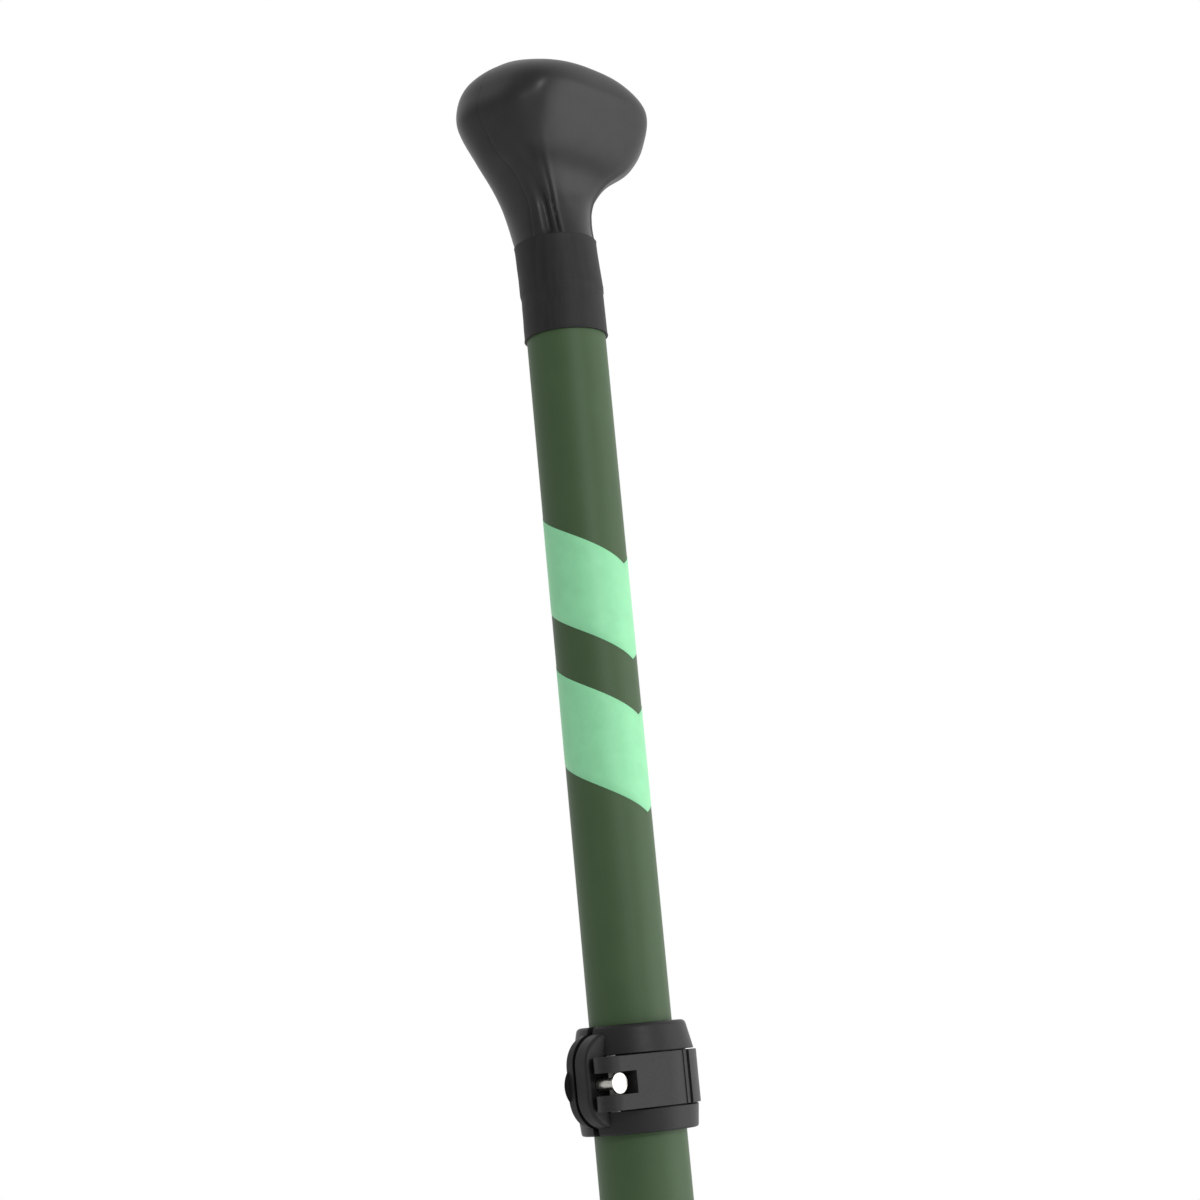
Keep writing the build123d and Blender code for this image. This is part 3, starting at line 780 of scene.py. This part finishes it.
class PADDLE_OT_grip(bpy.types.Operator):
    """Mould the palm grip's two halves"""

    bl_idname = "paddle.grip"
    bl_label = "Palm Grip"

    def execute(self, context):
        shape = context.scene.paddle_shape
        plastic = satin_grip(context.scene.paddle_finish.grip)
        front = grip_half(shape, "grip_front_half", -1)
        back = grip_half(shape, "grip_back_half", 1)
        finished(front, plastic, "handle", "grip_black", "grip_shell_front")
        finished(back, plastic, "handle", "grip_black", "grip_shell_back")
        return {"FINISHED"}


class PADDLE_OT_sleeve(bpy.types.Operator):
    """Shrink the sleeve over the grip and the tube"""

    bl_idname = "paddle.sleeve"
    bl_label = "Shrink Sleeve"

    def execute(self, context):
        film = shrunk_sleeve(context.scene.paddle_finish.sleeve)
        finished(shrink_sleeve(context.scene.paddle_shape), film, "handle", "sleeve_black", "grip_sleeve")
        return {"FINISHED"}


class PADDLE_OT_chevrons(bpy.types.Operator):
    """Wrap the two chevrons round the handle tube"""

    bl_idname = "paddle.chevrons"
    bl_label = "Chevrons"

    def execute(self, context):
        shape = context.scene.paddle_shape
        film = printed_film(context.scene.paddle_finish.stripe)
        for place, foot in STRIPE_FOOT.items():
            band = chevron(shape, f"chevron_{place}", foot)
            finished(band, film, "handle", "stripe_mint", f"stripe_{place}")
        return {"FINISHED"}


class PADDLE_OT_tubes(bpy.types.Operator):
    """Paint the tubes, and finish what joins them and what is inside them"""

    bl_idname = "paddle.tubes"
    bl_label = "Tubes"

    def execute(self, context):
        finish = context.scene.paddle_finish
        clamp_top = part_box("clamp_collar")[1].z
        wear_on(["handle_tube"], tube_paint("handle_paint", finish.tube, clamp_top, clamp_top + 90 * MM))
        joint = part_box("shaft_tube")[0].z
        wear_on(["shaft_tube", "lower_tube"],
                tube_paint("shaft_paint", finish.tube, joint - 60 * MM, joint + 60 * MM))
        wear_on(["joint_spigot"], drawn_metal("spigot_aluminium", (0.74, 0.75, 0.76), 0.28, (1, 1, 0.03)))
        wear_on(["button_spring"], drawn_metal("spring_steel", (0.42, 0.42, 0.41), 0.24, (0.05, 1, 1)))
        button_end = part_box("snap_button")[0]
        wear_on(["snap_button"], turned_steel("button_steel", (0.66, 0.65, 0.62), button_end, 0.2))
        wear_on(["blade_rivet"], drawn_metal("rivet_aluminium", (0.7, 0.7, 0.69), 0.3, (1, 0.3, 1)))
        wear_on(["guide_bush"], plain_plastic("bush_acetal", (0.5, 0.5, 0.48), 0.4))
        wear_on(["grip_plug", "handle_end_cap"], plain_plastic("core_plastic", (0.03, 0.03, 0.03), 0.45))
        wear_on(["shaft_foam_plug", "lower_foam_plug"], cell_foam((0.62, 0.61, 0.57)))
        return {"FINISHED"}


class PADDLE_OT_clamp(bpy.types.Operator):
    """Finish the lever clamp"""

    bl_idname = "paddle.clamp"
    bl_label = "Lever Clamp"

    def execute(self, context):
        finish = context.scene.paddle_finish
        bolt_low, bolt_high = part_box("draw_bolt")
        wear_on(["clamp_collar"], filled_nylon("collar_nylon", finish.clamp, 0.5, 0.05, 0.36))
        wear_on(["clamp_lever"], filled_nylon("lever_nylon", finish.lever, 0.9, 0.09, 0.38))
        wear_on(["draw_bolt"], turned_steel("bolt_steel", finish.steel, (bolt_low + bolt_high) / 2, 0.16))
        wear_on(["lever_pin"], drawn_metal("pin_steel", (0.16, 0.16, 0.155), 0.3, (1, 1, 0.2)))
        wear_on(["tension_nut"], drawn_metal("nut_zinc", (0.5, 0.5, 0.48), 0.3, (1, 0.5, 1)))
        return {"FINISHED"}


class PADDLE_OT_blade(bpy.types.Operator):
    """Mould the blade with its socket and spine"""

    bl_idname = "paddle.blade"
    bl_label = "Blade"

    def execute(self, context):
        nylon = blade_nylon(context.scene.paddle_finish.blade)
        finished(moulded_blade(context.scene.paddle_shape), nylon, "shaft", "blade_black", "blade")
        return {"FINISHED"}


def soft_light(name, place, target, size, watts):
    """A rectangular lamp that faces a point."""
    lamp = bpy.data.lights.new(name, "AREA")
    lamp.shape = "RECTANGLE"
    lamp.size, lamp.size_y = size
    lamp.energy = watts
    light = bpy.data.objects.new(name, lamp)
    light.location = place
    light.rotation_euler = (target - place).to_track_quat("-Z", "Y").to_euler()
    bpy.context.scene.collection.objects.link(light)


class PADDLE_OT_stage(bpy.types.Operator):
    """Set the floor, the studio light and the camera"""

    bl_idname = "paddle.stage"
    bl_label = "Stage"

    def execute(self, context):
        scene = context.scene
        scene.view_settings.view_transform = "Standard"
        floor_z = CAD_BOX[0].z - FLOOR_GAP
        rings = [circle(FLOOR_R, floor_z - depth, FLOOR_SIDES) for depth in (FLOOR_THICK, 0)]
        floor = skin("floor", rings, "capped")
        floor.data.materials.append(studio_floor())
        self.surround(scene)
        toward = Vector((math.sin(CAMERA_TURN), -math.cos(CAMERA_TURN), 0))
        right = Vector((math.cos(CAMERA_TURN), math.sin(CAMERA_TURN), 0))
        middle = Vector((0, 0, KEY_TARGET))
        crown = Vector((0, 0, SLEEVE_TOP + 40 * MM))
        for name, target, (place, size, watts) in (
                ("key_right", middle, KEY_LIGHT), ("spark_high", crown, SPARK_LIGHT)):
            offset = right * place[0] + toward * place[1] + AXIS_Z * place[2]
            soft_light(name, target + offset, target, size, watts)
        self.camera(scene, toward, right)
        return {"FINISHED"}

    def surround(self, scene):
        """A white backdrop for the eye; the room's own light is dimmer above and on the camera's side."""
        world = bpy.data.worlds.new("studio")
        graph = Graph(world)
        turn = CAMERA_TURN - DARK_SIDE_TURN
        level = math.cos(DARK_SIDE_RISE)
        dark_side = (math.sin(turn) * level, -math.cos(turn) * level, math.sin(DARK_SIDE_RISE))
        way = graph.node("ShaderNodeTexCoord", {}, {}, "Generated")
        facing = graph.node(
            "ShaderNodeVectorMath", {"operation": "DOT_PRODUCT"}, {0: way, 1: dark_side}, "Value")
        room = graph.node("ShaderNodeMapRange", {}, {
            "Value": facing, "From Min": -1.0, "From Max": 1.0, "To Min": ROOM_BRIGHT, "To Max": ROOM_DIM})
        lit = graph.node("ShaderNodeBackground", {}, {"Color": (1, 1, 1), "Strength": room})
        white = graph.node("ShaderNodeBackground", {}, {"Color": (1, 1, 1), "Strength": 1.0})
        seen = graph.node("ShaderNodeLightPath", {}, {}, "Is Camera Ray")
        both = graph.node("ShaderNodeMixShader", {}, {0: seen, 1: lit, 2: white})
        graph.node("ShaderNodeOutputWorld", {}, {"Surface": both}, None)
        scene.world = world

    def camera(self, scene, toward, right):
        forward = -toward * math.cos(CAMERA_TILT) + AXIS_Z * math.sin(CAMERA_TILT)
        up = AXIS_Z * math.cos(CAMERA_TILT) + toward * math.sin(CAMERA_TILT)
        rolled_up = up * math.cos(CAMERA_ROLL) + right * math.sin(CAMERA_ROLL)
        rolled_right = right * math.cos(CAMERA_ROLL) - up * math.sin(CAMERA_ROLL)
        turn = Matrix((rolled_right, rolled_up, -forward)).transposed()
        lens = bpy.data.cameras.new("camera")
        lens.lens = CAMERA_LENS
        lens.sensor_width = 36
        lens.clip_start, lens.clip_end = 0.01, 50
        camera = bpy.data.objects.new("camera", lens)
        camera.matrix_world = Matrix.Translation(CAMERA_PLACE) @ turn.to_4x4()
        scene.collection.objects.link(camera)
        scene.camera = camera


STEPS = (
    PADDLE_OT_stage, PADDLE_OT_grip, PADDLE_OT_sleeve, PADDLE_OT_chevrons,
    PADDLE_OT_tubes, PADDLE_OT_clamp, PADDLE_OT_blade)


class PADDLE_PT_panel(bpy.types.Panel):
    """Sizes, colours and steps of the paddle"""

    bl_label = "Paddle"
    bl_space_type = "VIEW_3D"
    bl_region_type = "UI"
    bl_category = "Paddle"

    def draw(self, context):
        for group in (context.scene.paddle_shape, context.scene.paddle_finish):
            box = self.layout.box()
            for name in group.bl_rna.properties.keys():
                if name not in ("rna_type", "name"):
                    box.prop(group, name)
        for operator in STEPS:
            self.layout.operator(operator.bl_idname)


CLASSES = (PaddleShape, PaddleFinish, *STEPS, PADDLE_PT_panel)


def register():
    for made in CLASSES:
        bpy.utils.register_class(made)
    bpy.types.Scene.paddle_shape = PointerProperty(type=PaddleShape)
    bpy.types.Scene.paddle_finish = PointerProperty(type=PaddleFinish)


def unregister():
    del bpy.types.Scene.paddle_finish
    del bpy.types.Scene.paddle_shape
    for made in reversed(CLASSES):
        bpy.utils.unregister_class(made)


def main():
    register()
    bpy.ops.paddle.stage()
    bpy.ops.paddle.grip()
    bpy.ops.paddle.sleeve()
    bpy.ops.paddle.chevrons()
    bpy.ops.paddle.tubes()
    bpy.ops.paddle.clamp()
    bpy.ops.paddle.blade()


if __name__ == "__main__":
    main()
